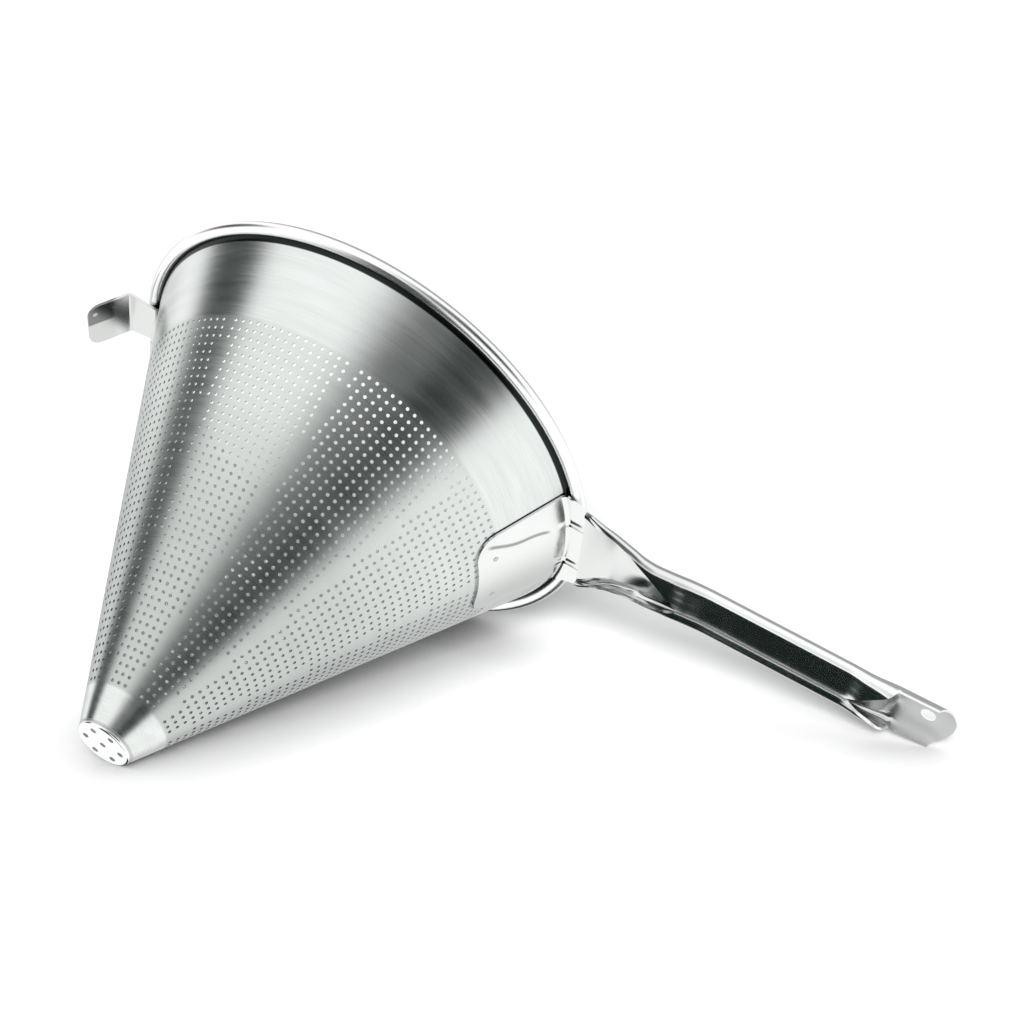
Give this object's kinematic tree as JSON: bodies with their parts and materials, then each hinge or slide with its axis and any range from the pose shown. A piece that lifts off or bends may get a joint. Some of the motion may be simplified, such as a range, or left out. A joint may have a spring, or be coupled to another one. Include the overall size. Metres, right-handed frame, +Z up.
{
  "type": "chinois strainer",
  "caption": "Conical perforated steel strainer with a rolled rim, a hollow handle on a welded bracket and a rest hook opposite.",
  "frame": {"origin": "centre of the bounding box's bottom face, on the surface that the strainer lies on", "axes": "+Z up; the strainer lies on the cone's side and the handle's end, with +X from the tip towards the mouth along the line that the cone rests on, and the handle runs towards -Y and down"},
  "size_m": [0.2663, 0.4574, 0.2313],
  "materials": {
    "cone_satin_steel": "satin brushed round the cone",
    "polished_steel": "polished stainless steel",
    "wire_steel": "plain drawn wire",
    "weld_steel": "cleaned weld"
  },
  "bodies": {
    "root": {"perforated_cone": "cone_satin_steel", "rim_wire": "wire_steel", "tip_cap": "polished_steel", "tip_weld": "weld_steel", "handle_bracket": "polished_steel", "bracket_spot_welds": "weld_steel", "handle": "polished_steel", "handle_root_weld": "weld_steel", "rest_hook": "polished_steel", "hook_spot_welds": "weld_steel"}
  },
  "joints": []
}
